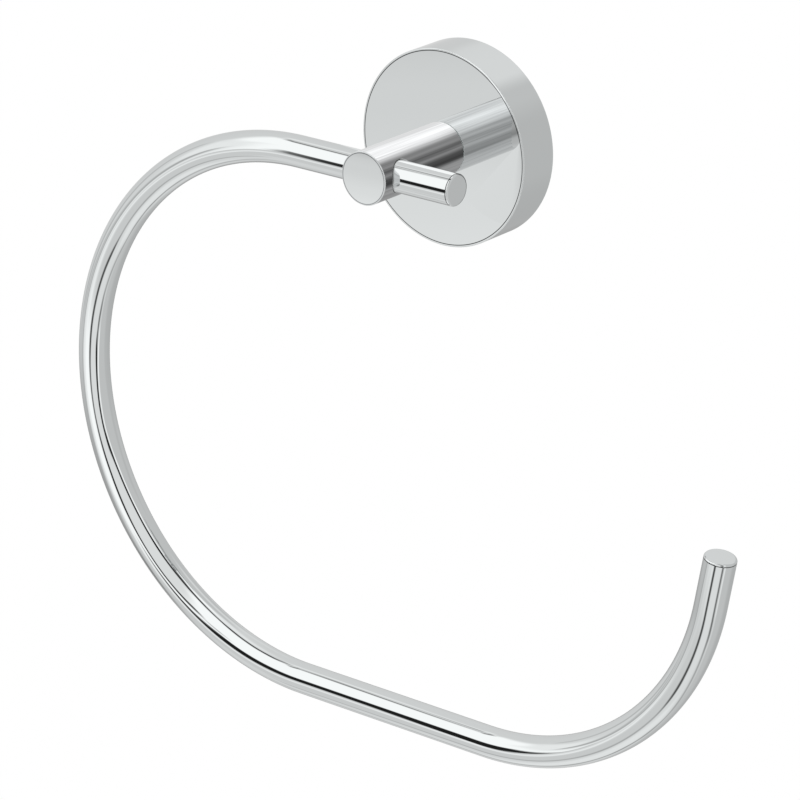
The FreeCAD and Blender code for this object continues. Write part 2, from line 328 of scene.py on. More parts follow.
def ring_path(sizes):
    """Centre line of the bar: points, directions and distances along it.

    It starts at the stub and heads left. A run goes straight on, and a bend turns about OUT: the point at
    angle a is the bend's centre plus its radius times the first spoke turned by a.
    """
    bend_step, run_rows = math.pi / 120, 9
    stretches = [
        (sizes.stub + sizes.top_run, 0.0),
        (sizes.left_bend, math.pi),
        (sizes.bottom_run, 0.0),
        (sizes.right_bend, sizes.right_turn),
        (sizes.end_run, 0.0),
    ]
    place = RIGHT * sizes.stub + OUT * sizes.out
    heading, travelled = math.pi, 0.0
    points, angles, lengths = [], [], []
    for size, turn in stretches:
        if turn:
            angle = heading + np.linspace(0, turn, math.ceil(turn / bend_step) + 1)
            centre = place + size * np.array([-math.sin(heading), 0, math.cos(heading)])
            spoke = np.stack([np.sin(angle), np.zeros_like(angle), -np.cos(angle)], -1)
            points.append((centre + size * spoke)[:-1])
            lengths.append((travelled + size * (angle - heading))[:-1])
            heading, travelled = heading + turn, travelled + size * turn
            place = centre + size * spoke[-1]
        else:
            share = np.linspace(0, 1, run_rows)[:-1, None]
            ahead = np.array([math.cos(heading), 0, math.sin(heading)])
            points.append(place + share * size * ahead)
            lengths.append(travelled + share[:, 0] * size)
            angle = np.full(run_rows, heading)
            travelled, place = travelled + size, place + size * ahead
        angles.append(angle[:-1])
    points, lengths = np.concatenate(points + [place[None]]), np.concatenate(lengths + [[travelled]])
    angles = np.concatenate(angles + [[heading]])
    return points, np.stack([np.cos(angles), np.zeros_like(angles), np.sin(angles)], -1), lengths


class TOWELRING_OT_ring(Operator):
    """Bend the ring's bar, from the stub through the post and round to the free end"""

    bl_idname = "towelring.ring"
    bl_label = "Ring"

    def execute(self, context):
        sizes = context.scene.towelring_ring
        finish = context.scene.towelring_finish
        radius, edge = sizes.bar / 2, sizes.end_round
        points, ahead, lengths = ring_path(sizes)
        end_radius, height, radial, axial = domed_end(radius, edge, 0.0, 0.0, face_rows=6, edge_rows=12)
        # The rows of the two ends take the place of the path's first and last point
        start, end = points[0] - height[::-1, None] * ahead[0], points[-1] + height[:, None] * ahead[-1]
        points = np.concatenate([start, points[1:-1], end])
        rows = len(lengths) - 2
        ahead = np.repeat(ahead, [len(height)] + [1] * rows + [len(height)], axis=0)
        around_bar = around(BAR_COLUMNS)
        patch = circles(
            points,
            ahead,
            np.repeat(OUT[None], len(points), 0),
            np.concatenate([end_radius[::-1], np.full(rows, radius), end_radius]),
            np.concatenate([radial[::-1], np.ones(rows), radial]),
            np.concatenate([-axial[::-1], np.zeros(rows), axial]),
            around_bar,
        )
        along = np.concatenate([lengths[0] - height[::-1], lengths[1:-1], lengths[-1] + height])
        charts = np.stack(np.broadcast_arrays(along[:, None], radius * around_bar[None, :]), -1)
        ring = sewn("ring_bar", [patch], charts)
        ring.data.materials.append(chrome_on_bar(finish, lengths[-1], edge))
        # The rose in the photograph mirrors the post and not the bar
        ring.visible_glossy = False
        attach(ring, "root")
        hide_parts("ring")
        return {"FINISHED"}


# The post


class TOWELRING_OT_post(Operator):
    """Turn the post, with its cross bore for the ring, its foot and its spigot"""

    bl_idname = "towelring.post"
    bl_label = "Post"

    def execute(self, context):
        sizes = context.scene.towelring_post
        ring = context.scene.towelring_ring
        finish = context.scene.towelring_finish
        radius, play, wall = sizes.diameter / 2, 0.05 * MM, 0.3 * MM
        bore = ring.bar / 2 + play
        rose_face, front = -span("wall_rose", 1)[0], -span("post", 1)[0]
        foot_round, spigot, spigot_length, thread = 0.2 * MM, 5 * MM, 2 * MM, 3 * MM
        end = domed_end(radius, sizes.front_round, sizes.crown, front, face_rows=40)
        border = border_loop(math.pi / 2, rose_face + foot_round, end[1][0], across=40, down=60)
        turn = np.arctan2(radius * border[0], border[1] - ring.out)
        loop = hole_loop(radius, bore + sizes.bore_round, ring.out, turn)
        patches, mouths = [], []
        for aim in (RIGHT, -RIGHT):
            mouth = lip(radius, bore, ring.out, sizes.bore_round, turn, aim, UP)
            patches += [(*pierced_strip(radius, loop, border, aim, UP), 1), mouth]
            mouths.append(mouth[0][-1])
        patches.append((*joined(mouths[0], mouths[1], mouth[1][-1]), 2))
        # The same angles as along the strips' edges, measured from RIGHT towards UP
        half_turn = np.unique(border[0][border[1] == border[1][0]])
        angles = np.concatenate([half_turn, math.pi + half_turn[1:]])
        patches.append(turned(*end, angles))
        patches.append(back_edge(radius, foot_round, rose_face, angles))
        thread_end = ring.out - bore - wall
        spigot_end = rose_face - spigot_length
        inside = [
            ((radius - foot_round, spigot), (rose_face, rose_face), 0.0, -1.0),
            ((spigot, spigot), (rose_face, spigot_end), 1.0, 0.0),
            ((spigot, thread), (spigot_end, spigot_end), 0.0, -1.0),
            ((thread, thread), (spigot_end, thread_end), -1.0, 0.0),
            ((thread, 0), (thread_end, thread_end), 0.0, -1.0),
        ]
        patches += [turned(*rows, angles) for rows in inside]
        post = sewn("post_body", patches)
        # The painted shade line lies one row in from the round
        edge = end[0][EDGE_ROWS]
        post.data.materials.append(polished_chrome("Chrome plate on the post", finish, edge, "8A8C8E"))
        post.data.materials.append(chrome_on_post(finish))
        post.data.materials.append(unpolished_plating(finish))
        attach(post, "root")
        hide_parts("post")
        return {"FINISHED"}


# The wall rose


def block_with_hole(name, x_half, depths, heights, hole, hole_depth, columns=64):
    """Block about the plane X = 0 with a round hole up through it.

    Each column starts at the hole's foot, goes up its wall, out to the block's side at the top, down the side
    and back to the hole. The side is where the column's direction meets the rectangle.
    """
    turn = around(columns)[:, None]
    sideways, outward = np.cos(turn), np.sin(turn)
    direction = sideways * RIGHT + outward * OUT
    reach_x = x_half / np.maximum(np.abs(sideways), TINY)
    to_depth = np.where(outward > 0, depths[1] - hole_depth, hole_depth - depths[0])
    reach_depth = to_depth / np.maximum(np.abs(outward), TINY)
    side_normal = np.where(reach_x < reach_depth, np.sign(sideways) * RIGHT, np.sign(outward) * OUT)
    middle = OUT * hole_depth
    inner, outer = middle + hole * direction, middle + np.minimum(reach_x, reach_depth) * direction
    low, high = UP * heights[0], UP * heights[1]
    up = np.repeat(UP[None], columns + 1, 0)
    patches = [
        joined(inner + low, inner + high, -direction),
        joined(inner + high, outer + high, up),
        joined(outer + high, outer + low, side_normal),
        joined(outer + low, inner + low, -up),
    ]
    return sewn(name, patches)


def lug(name, half, profile):
    """Prism across X whose end is a four-cornered profile of depths and heights, with softened edges."""
    corners = [x * RIGHT + depth * OUT + height * UP for x in (-half, half) for depth, height in profile]
    faces = [(0, 1, 2, 3), (7, 6, 5, 4), (0, 4, 5, 1), (1, 5, 6, 2), (2, 6, 7, 3), (3, 7, 4, 0)]
    mesh = bpy.data.meshes.new(name)
    mesh.from_pydata(corners, [], faces)
    mesh.update()
    piece = shown(name, mesh)
    bevel = piece.modifiers.new("Softened edges", "BEVEL")
    bevel.width = 0.3 * MM
    bevel.segments = 3
    return piece


class TOWELRING_OT_rose(Operator):
    """Turn the wall rose, with the pad round its screw's hole and the lug that hooks on the bracket"""

    bl_idname = "towelring.rose"
    bl_label = "Wall rose"

    def execute(self, context):
        sizes = context.scene.towelring_rose
        finish = context.scene.towelring_finish
        radius, depth = sizes.diameter / 2, width("wall_rose", 1)
        inner_radius, inner_depth = radius - sizes.rim_wall, depth - sizes.face_wall
        back_round, centre_hole, hole_round = 0.3 * MM, 5.05 * MM, 0.2 * MM
        screw_hole, screw_out = 2.02 * MM, -sum(span("rose_screw", 1)) / 2
        face = domed_end(radius, sizes.edge_round, sizes.crown, depth, face_rows=60, hole=centre_hole)
        # The rim's lowest part, with the screw's hole, is a strip of its own
        half_strip, across, down, columns = math.radians(15), 12, 14, 330
        border = border_loop(half_strip, back_round, face[1][0], across, down)
        liner_border = border_loop(half_strip, 0.0, inner_depth, across, down)
        turn = np.arctan2(radius * border[0], border[1] - screw_out)
        loop = hole_loop(radius, screw_hole + hole_round, screw_out, turn)
        liner_loop = hole_loop(inner_radius, screw_hole, screw_out, turn)
        mouth = lip(radius, screw_hole, screw_out, hole_round, turn, -UP, RIGHT)
        liner, liner_out = pierced_strip(inner_radius, liner_loop, liner_border, -UP, RIGHT)
        # Angles from RIGHT towards UP: the strip at the bottom, and the rest of the way round
        strip = np.unique(border[0][border[1] == border[1][0]]) - math.pi / 2
        others = np.linspace(half_strip, 2 * math.pi - half_strip, columns + 1) - math.pi / 2
        angles = np.concatenate([strip, others[1:]])
        polished = [
            pierced_strip(radius, loop, border, -UP, RIGHT),
            mouth,
            turned(radius, np.unique(border[1]), 1.0, 0.0, others),
            turned(*face, angles),
            back_edge(radius, back_round, 0.0, angles),
        ]
        plain = [
            joined(mouth[0][-1], liner[0], mouth[1][-1]),
            (liner, -liner_out),
            turned(inner_radius, np.unique(liner_border[1]), -1.0, 0.0, others),
            turned((radius - back_round, inner_radius), 0.0, 0.0, -1.0, angles),
            turned((inner_radius, centre_hole), inner_depth, 0.0, -1.0, angles),
            turned(centre_hole, (inner_depth, face[1][-1]), -1.0, 0.0, angles),
        ]
        shell = sewn("rose_shell", [(*patch, 0) for patch in polished] + [(*patch, 1) for patch in plain])
        # The painted shade line lies one row in from the round
        edge = face[0][EDGE_ROWS]
        shell.data.materials.append(polished_chrome("Chrome plate on the rose", finish, edge, "2C2D2E"))
        shell.data.materials.append(unpolished_plating(finish))
        # The pad and the lug are sunk into the shell, which they are one piece with
        sunk, half_pad, pad_rise = 0.7 * MM, 4.5 * MM, 2 * MM
        pad_depths = (screw_out - half_pad, inner_depth + sunk)
        pad_heights = (-inner_radius - sunk, pad_rise - inner_radius)
        pad = block_with_hole("rose_pad", half_pad, pad_depths, pad_heights, screw_hole, screw_out)
        # The lug's underside follows the bracket's upper tab, which flares by 15 degrees
        slope, gap = math.tan(math.radians(15)), 0.1 * MM
        near, far, half_lug = 1 * MM, 4 * MM, 7 * MM
        under = span("wall_bracket", 2)[1] - width("wall_bracket", 1) * slope + gap
        top = inner_radius + sunk
        profile = [(near, under + near * slope), (far, under + far * slope), (far, top), (near, top)]
        hook = lug("rose_lug", half_lug, profile)
        for piece in (pad, hook):
            piece.data.materials.append(unpolished_plating(finish))
        for piece in (shell, pad, hook):
            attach(piece, "root")
            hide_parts("wall_rose")
        return {"FINISHED"}


# The fixings


class TOWELRING_OT_fixings(Operator):
    """Finish the bracket, the washer and the screws, whose shapes are the frame's"""

    bl_idname = "towelring.fixings"
    bl_label = "Fixings"

    def execute(self, context):
        finish = context.scene.towelring_finish
        surfaces = {
            zinc_plated_steel(finish): ("wall_bracket", "post_washer"),
            turned_stainless(finish): ("post_screw", "lock_screw", "rose_screw"),
        }
        for material, names in surfaces.items():
            for name in names:
                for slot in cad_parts[name].material_slots:
                    slot.material = material
        return {"FINISHED"}


# Materials


def brightness(channels):
    """Linear values of sRGB channels from 0 to 1."""
    return np.where(channels <= 0.04045, channels / 12.92, ((channels + 0.055) / 1.055) ** 2.4)


def linear(hex_colour):
    """Linear colour of an sRGB hex value."""
    return (*brightness(np.array([int(hex_colour[start : start + 2], 16) / 255 for start in (0, 2, 4)])), 1.0)


def node(tree, kind, settings, links):
    """Add a shader node: its settings by name or input number, and the sockets that feed its inputs."""
    made = tree.nodes.new(kind)
    for name, value in settings.items():
        if isinstance(name, str) and hasattr(made, name):
            setattr(made, name, value)
        else:
            made.inputs[name].default_value = value
    for name, source in links.items():
        tree.links.new(source, made.inputs[name])
    return made


def metal(name, hex_colour):
    """Material with one metallic shader, and the place on its piece that its pattern reads."""
    material = bpy.data.materials.new(name)
    material.use_nodes = True
    tree = material.node_tree
    shader = tree.nodes["Principled BSDF"]
    shader.inputs["Base Color"].default_value = linear(hex_colour)
    shader.inputs["Metallic"].default_value = 1.0
    # The metals gain less at grazing angles than a perfect mirror would
    shader.inputs["Specular Tint"].default_value = (0.86, 0.86, 0.86, 1.0)
    place = node(tree, "ShaderNodeTexCoord", {}, {}).outputs["Object"]
    return material, tree, shader, place


def uneven(tree, shader, place, size, detail, smooth, rough):
    """Noise whose largest grains are size across, and a roughness that follows it from smooth to rough."""
    grain = node(tree, "ShaderNodeTexNoise", {"Scale": 1 / size, "Detail": detail}, {"Vector": place})
    grain = grain.outputs["Fac"]
    spread = node(tree, "ShaderNodeMapRange", {"To Min": smooth, "To Max": rough}, {"Value": grain})
    tree.links.new(spread.outputs["Result"], shader.inputs["Roughness"])
    return grain


def chrome_plate(name, finish):
    """Bright chrome plate: a clear mirror, with waves that show only as bent lines in what it mirrors."""
    material, tree, shader, place = metal(name, finish.chrome)
    # Waves about 4 mm long and a micrometre high
    waves = node(tree, "ShaderNodeTexNoise", {"Scale": 1 / (4 * MM), "Detail": 1.0}, {"Vector": place})
    height = {"Strength": 1.0, "Distance": 0.001 * MM}
    bumps = node(tree, "ShaderNodeBump", height, {"Height": waves.outputs["Fac"]})
    tree.links.new(bumps.outputs["Normal"], shader.inputs["Normal"])
    return material, tree, shader, place


def painted_edge_shade(tree, shader, place, middle, finish, line):
    """Line of colour line where place is middle: painted shade at the start of a small round."""
    beside = node(tree, "ShaderNodeMath", {"operation": "SUBTRACT", 1: middle}, {0: place})
    away = node(tree, "ShaderNodeMath", {"operation": "ABSOLUTE"}, {0: beside.outputs["Value"]})
    # The painted shade line is 0.1 mm wide and fades into the plate over the next 0.1 mm
    limits = {"interpolation_type": "SMOOTHSTEP", "From Min": 0.05 * MM, "From Max": 0.16 * MM}
    plate = node(tree, "ShaderNodeMapRange", limits, {"Value": away.outputs["Value"]})
    colours = {"Color1": linear(line), "Color2": linear(finish.chrome)}
    mixed = node(tree, "ShaderNodeMixRGB", colours, {"Fac": plate.outputs["Result"]})
    tree.links.new(mixed.outputs["Color"], shader.inputs["Base Color"])


def polished_chrome(name, finish, edge, line):
    """Chrome plate on buffed brass turned about the post's axis, with a painted shade line at radius edge."""
    material, tree, shader, place = chrome_plate(name, finish)
    flat = node(tree, "ShaderNodeVectorMath", {"operation": "MULTIPLY", 1: (1.0, 0.0, 1.0)}, {0: place})
    radius = node(tree, "ShaderNodeVectorMath", {"operation": "LENGTH"}, {0: flat.outputs["Vector"]})
    painted_edge_shade(tree, shader, radius.outputs["Value"], edge, finish, line)
    # Buffing leaves patches a few millimetres wide that are a little less clear
    uneven(tree, shader, place, 6 * MM, 2.0, 0.01, 0.03)
    return material


def chrome_on_bar(finish, length, edge):
    """Same plate on drawn bar, whose marks run along it, with a painted shade line at edge from both ends."""
    material, tree, shader, _ = chrome_plate("Chrome plate on drawn bar", finish)
    chart = node(tree, "ShaderNodeUVMap", {"uv_map": "Surface"}, {}).outputs["UV"]
    # The marks are too fine to show as they are: here they are 0.6 mm wide, and 60 times as long
    drawn_out = node(tree, "ShaderNodeMapping", {"Scale": (1 / 60, 1.0, 1.0)}, {"Vector": chart})
    uneven(tree, shader, drawn_out.outputs["Vector"], 0.6 * MM, 2.0, 0.01, 0.03)
    along = node(tree, "ShaderNodeSeparateXYZ", {}, {"Vector": chart}).outputs["X"]
    beside = node(tree, "ShaderNodeMath", {"operation": "SUBTRACT", 1: length / 2}, {0: along})
    from_middle = node(tree, "ShaderNodeMath", {"operation": "ABSOLUTE"}, {0: beside.outputs["Value"]})
    # Painted shade line where the round starts at each end
    painted_edge_shade(tree, shader, from_middle.outputs["Value"], length / 2 - edge, finish, "2C2D2E")
    return material


def chrome_on_post(finish):
    """The same plate on the post's side, where fine marks of the polishing belt run along the axis."""
    material, tree, shader, place = chrome_plate("Chrome plate on the post's side", finish)
    # The marks are too fine to show as they are: here they are 0.5 mm wide, and as long as the post
    drawn_out = node(tree, "ShaderNodeMapping", {"Scale": (1.0, 1 / 100, 1.0)}, {"Vector": place})
    marks = uneven(tree, shader, drawn_out.outputs["Vector"], 0.5 * MM, 3.0, 0.01, 0.05)
    streaks = node(tree, "ShaderNodeMapRange", {"From Min": 0.3, "From Max": 0.7}, {"Value": marks})
    colours = {"Color1": linear("C4C5C6"), "Color2": linear("EBECED")}
    mixed = node(tree, "ShaderNodeMixRGB", colours, {"Fac": streaks.outputs["Result"]})
    tree.links.new(mixed.outputs["Color"], shader.inputs["Base Color"])
    return material


def unpolished_plating(finish):
    """The same plate on the turned inside, which nobody polishes: dull, with an uneven grain."""
    name = "Unpolished chrome plate"
    if name in bpy.data.materials:
        return bpy.data.materials[name]
    material, tree, shader, place = metal(name, finish.inside)
    # The tool's marks are too fine to show as they are: here they are a grain of 0.4 mm
    grain = uneven(tree, shader, place, 0.4 * MM, 4.0, 0.28, 0.42)
    bumps = node(tree, "ShaderNodeBump", {"Strength": 1.0, "Distance": 0.01 * MM}, {"Height": grain})
    tree.links.new(bumps.outputs["Normal"], shader.inputs["Normal"])
    return material


def zinc_plated_steel(finish):
    """Bright zinc on pressed strip: satin, with the cloudy patches that the bath leaves."""
    material, tree, shader, place = metal("Zinc-plated steel", finish.bracket)
    clouds = uneven(tree, shader, place, 5 * MM, 4.0, 0.26, 0.44)
    colours = {"Color1": linear("9CA1A8"), "Color2": linear(finish.bracket)}
    mixed = node(tree, "ShaderNodeMixRGB", colours, {"Fac": clouds})
    tree.links.new(mixed.outputs["Color"], shader.inputs["Base Color"])
    return material


def turned_stainless(finish):
    """Stainless steel turned and left bright: satin, with an uneven grain."""
    material, tree, shader, place = metal("Turned stainless steel", finish.screws)
    # The tool's marks are too fine to show as they are: here they are a grain of 0.3 mm
    uneven(tree, shader, place, 0.3 * MM, 3.0, 0.18, 0.34)
    return material


# The stage


# Viewing angle of the photograph and the camera's roll in degrees, the place it aims at, how far away it is,
# and its focal length and sensor in millimetres
CAMERA_AZIMUTH, CAMERA_ELEVATION, CAMERA_ROLL = 38.847, 21.178, -0.108
CAMERA_AIM = np.array([0.006371, -0.036364, -0.056808])
CAMERA_DISTANCE = 1.0091
CAMERA_LENS, CAMERA_SENSOR = 186.5, 36.0


def toward(azimuth, elevation):
    """Direction at an azimuth and an elevation in degrees."""
    azimuth, elevation = np.broadcast_arrays(np.radians(azimuth), np.radians(elevation))
    flat = np.cos(elevation)
    return np.stack([flat * np.sin(azimuth), -flat * np.cos(azimuth), np.sin(elevation)], -1)


def place_camera():
    """Camera at the photograph's viewing angle, a metre away behind a long lens."""
    roll = math.radians(CAMERA_ROLL)
    back = toward(CAMERA_AZIMUTH, CAMERA_ELEVATION)
    right = toward(CAMERA_AZIMUTH + 90, 0.0)
    up = np.cross(back, right)
    matrix = np.eye(4)
    matrix[:3, 0] = right * math.cos(roll) + up * math.sin(roll)
    matrix[:3, 1] = up * math.cos(roll) - right * math.sin(roll)
    matrix[:3, 2] = back
    matrix[:3, 3] = CAMERA_AIM + back * CAMERA_DISTANCE
    camera = shown("Camera", bpy.data.cameras.new("Camera"))
    camera.data.lens, camera.data.sensor_width = CAMERA_LENS, CAMERA_SENSOR
    camera.matrix_world = Matrix(matrix)
    bpy.context.scene.camera = camera


def white_world():
    """White all round, which lights the floor and is the background beyond it."""
    world = bpy.data.worlds.new("White")
    world.use_nodes = True
    background = world.node_tree.nodes["Background"]
    background.inputs["Color"].default_value = (1.0, 1.0, 1.0, 1.0)
    background.inputs["Strength"].default_value = 1.0
    world.cycles.sampling_method = "NONE"
    bpy.context.scene.world = world


def lay_floor(depth):
    """Plain white paper floor, far below the object."""
    half_width = 12.0
    corners = [(x * half_width, y * half_width, -depth) for x, y in ((-1, -1), (1, -1), (1, 1), (-1, 1))]
    mesh = bpy.data.meshes.new("Floor")
    mesh.from_pydata(corners, [], [(0, 1, 2, 3)])
    mesh.update()
    floor = shown("Floor", mesh)
    material = bpy.data.materials.new("White paper")
    material.use_nodes = True
    shader = material.node_tree.nodes["Principled BSDF"]
    shader.inputs["Base Color"].default_value = (1.0, 1.0, 1.0, 1.0)
    shader.inputs["Roughness"].default_value = 1.0
    shader.inputs["Specular IOR Level"].default_value = 0.0
    mesh.materials.append(material)


# The grey of the tent's plain cloth, as the chrome shows it, from 0 to 255
PLAIN_CLOTH = 210.0
# The cloths on it, each hung over those before it: its grey, the width of its soft edge, a panel's middle or
# None for a strip, and its points. All directions are in degrees: azimuth from straight out of the wall,
# positive to the right, then elevation. A strip's points have half its width as a third number.
TENT = [
    # Grey cloth at the left, with a shadow line down it and a darker hem
    (206, 18, (-120, 30), [
        (-150, -25), (-165, 30), (-150, 58), (-100, 54), (-84, 42), (-80, 20), (-75, -20)]),
    (174, 8, None, [(-83, 22, 1.5), (-82, 5, 3), (-80, -12, 4)]),
    (155, 22, (-120, -25), [
        (-175, -14), (-150, -10), (-120, -17), (-66, -21), (-62, -32), (-92, -40), (-172, -36)]),
    # Floor cloth and the cloth over the back
    (226, 14, (0, -75), [(-100, -52), (-50, -62), (0, -62), (50, -60), (80, -75), (-120, -80)]),
    (229, 14, (-140, 80), [(-170, 68), (-130, 70), (-110, 62), (-80, 70), (0, 88), (120, 85), (170, 75)]),
    # Grey back cloth behind the object at the right, darker low down, with a white cloth over its top
    (189, 10, (135, 0), [
        (86, 63), (120, 66), (160, 70), (-160, 62), (-155, 20), (-160, -20), (-150, -60), (160, -75),
        (110, -68), (85, -55), (75, -30), (62, 0), (75, 20), (86, 40)]),
    (176, 24, (160, -30), [(130, -20), (150, -10), (-160, -15), (-140, -40), (180, -60), (130, -45)]),
    (180, 16, (142, -4), [(130, -28), (130, 20), (147, 24), (156, -28)]),
    (214, 14, None, [(172, 41, 7), (-165, 41, 7), (-150, 31, 6)]),
    (248, 5, (125, 76), [(92, 63), (110, 63.5), (125, 67), (165, 75), (-160, 82), (120, 84), (95, 79)]),
    # Seams of the floor cloth
    (130, 8, None, [(-180, -84, 2), (-150, -81, 2), (-120, -74, 1.5)]),
    (163, 12, None, [(-120, -72, 3), (-105, -62, 3), (-95, -54, 2)]),
    (154, 8, None, [(120, -80, 2), (150, -83, 2), (180, -84, 2)]),
    # Main light: a large white panel in front at the left, and its dimmer wing
    (249, 12, (-30, 35), [
        (-90, 46), (-78, 54), (-50, 66), (-20, 76), (20, 78), (48, 70), (32, 55), (10, 42), (-4, 24),
        (-9, 12), (-8, 0), (-2, -5), (-3, -24), (-8, -29), (-20, -26), (-34, -24.5), (-42, -20), (-47, -6),
        (-49, 10), (-62, 24), (-72, 30)]),
    (231, 10, (-60, 5), [(-76, 28), (-50, 24), (-46, 0), (-47, -20), (-57, -16), (-55, 0), (-66, 8)]),
    # Fill light in front at the right
    (218, 10, (28, 10), [
        (-7, 24), (-12, 12), (-10, 2), (4, -5), (4, -25), (8, -30), (8, -58), (50, -58), (58, -40), (52, -20),
        (46, 0), (50, 5), (62, 24), (64, 36), (62, 50), (62, 70), (45, 70), (25, 60), (4, 44)]),
    # Grey table under the main light, with its dark border
    (200, 8, (-25, -42), [
        (-62, -24), (-56, -40), (-46, -52), (-20, -57), (5, -56), (1, -42), (-3, -34), (-9, -29.5),
        (-20, -26.5), (-34, -25), (-46, -21)]),
    (156, 7, None, [
        (-60, -48, 1), (-44, -49, 1.8), (-30, -52, 2), (-20, -54.5, 2.5), (2, -53, 2.5), (8, -51, 3)]),
    (110, 8, None, [(-92, -37, 2), (-80, -36, 2)]),
    # Edges of the wing and of the table
    (176, 9, None, [(-68, -14, 3), (-58, -8, 3), (-53, 0, 2)]),
    (156, 6, None, [(-51, 4, 1.5), (-52, -6, 2.2), (-56, -18, 2.5), (-62, -26, 2.5)]),
    # Fine seam along the main light's upper left edge, with a pale fold before it
    (145, 3, None, [(-90, 51.5, 0.5), (-80, 51.5, 1), (-66, 51, 0.5)]),
    (228, 4, None, [(-103, 50.8, 2), (-96, 52.5, 2.2), (-96, 55.5, 2)]),
    (104, 3, None, [(-80, 50, 0.8), (-77, 51.4, 1.3), (-74, 52.2, 1.5), (-72, 53.3, 1)]),
    # Dark gap over the main light, round to the right of the fill light and down to the floor
    (90, 8, None, [(-86, 57, 1), (-76, 59.8, 2.2), (-70, 62.5, 3)]),
    (46, 8, None, [(-70, 62.5, 2.8), (-60, 67.5, 3.8), (-50, 73.5, 3.8), (-40, 78, 3.5), (-30, 80, 2.8)]),
    (16, 6, None, [(-40, 79, 2.5), (-20, 81.3, 2.4), (20, 82.5, 2.4), (40, 81.8, 2.6), (55, 80, 3)]),
    (142, 6, None, [(10, 78, 1), (25, 77.5, 2), (40, 77, 2)]),
    (120, 9, None, [(66, 74, 5), (78, 70, 5), (84, 68, 5)]),
    (40, 7, None, [(60, 77, 4), (66, 71, 5), (66, 64, 5.4), (65, 57, 5.5), (65, 50, 5.3)]),
    (12, 6, None, [
        (65, 52, 5), (66, 43, 5), (67, 36, 5), (66, 28, 4.6), (63, 20, 4.2), (59.5, 13, 3.8), (54, 7, 3.6),
        (48, 2, 4), (47, -3, 4.4), (48, -8, 4.4), (51, -14, 4.2), (54, -20, 4.6), (55.5, -27, 5.4)]),
    (85, 9, None, [(57, -31, 3), (60, -38, 3.2), (65, -45, 3)]),
    (145, 9, None, [(64, -47, 3), (70, -55, 2.5), (85, -65, 2), (107, -72, 2), (145, -80, 1.5)]),
    # White edge of the back cloth beside the gap
    (248, 6, None, [
        (83, 59, 2.5), (83, 48, 3.5), (82, 38, 3.8), (79.5, 28, 3), (75, 19, 3), (67.5, 12, 2.6),
        (61, 4, 2.6), (60, -3, 2.6), (61.5, -10, 2.6), (67, -19, 2.6), (73, -29, 3), (75, -35, 2)]),
    # Camera opening in the main light
    (28, 4.5, (-31, -2), [
        (-39, 6), (-33, 8.5), (-24.5, 7), (-24, 2), (-25.5, -3), (-24, -7), (-23, -9), (-26, -11.5),
        (-31, -13.5), (-36, -15), (-39.5, -12), (-40, -5)]),
    # Stand between the two lights, from its head down to its foot
    (162, 6, None, [(-20.5, 18, 1.5), (-19.5, 14, 1.5)]),
    (60, 4, None, [(-13, 19, 1.4), (-13.5, 14, 2)]),
    (14, 6, None, [
        (-13.8, 12, 2.2), (-13.6, 7, 3), (-12, 3.5, 3.6), (-8, 1, 3.6), (-3.5, -0.3, 3.8), (1, -1.5, 4.4),
        (3.8, -3, 4.6), (3, -7.5, 4)]),
    (90, 8, None, [(2, -11, 3.6), (2.5, -18, 4), (4.5, -25, 4.6)]),
    (62, 8, None, [(5, -28, 4.2), (6, -36, 4.6), (7, -48, 3.6)]),
    # Grey cloths that the flat faces see
    (184, 2.5, (-39, -12), [(-45, -9.6), (-35, -9.6), (-34, -15), (-45, -15)]),
    (208, 2, (-39, -15), [(-45, -12.2), (-35, -12.2), (-33, -20), (-45, -20)]),
    (219, 3, (-39, -18), [(-45, -15.6), (-34, -15.6), (-33, -21), (-45, -21)]),
    (234, 3, (-39, -19), [(-45, -18.6), (-34, -18.6), (-33, -22), (-45, -22)]),
]


def eased(share):
    """Share from 0 to 1 that starts and ends level: 3 s^2 - 2 s^3."""
    share = np.clip(share, 0, 1)
    return share**2 * (3 - 2 * share)


def strip_cover(directions, points, soft):
    """How much of a strip covers each direction, from 0 to 1.

    The distance is the angle to the nearest point of the line, which goes straight from point to point, and
    the cover falls from 1 to 0 over the soft edge, with a half where the strip's half width is reached.
    """
    points = np.array(points, float)
    ends, half = toward(points[:, 0], points[:, 1]), points[:, 2]
    cover = np.zeros(len(directions))
    for start, end, first, last in zip(ends[:-1], ends[1:], half[:-1], half[1:]):
        share = np.clip((directions - start) @ (end - start) / ((end - start) @ (end - start)), 0, 1)
        nearest = start + share[:, None] * (end - start)
        nearest /= np.linalg.norm(nearest, axis=1, keepdims=True)
        distance = np.degrees(np.arccos(np.clip((directions * nearest).sum(1), -1, 1)))
        cover = np.maximum(cover, eased((first + share * (last - first) + soft / 2 - distance) / soft))
    return cover


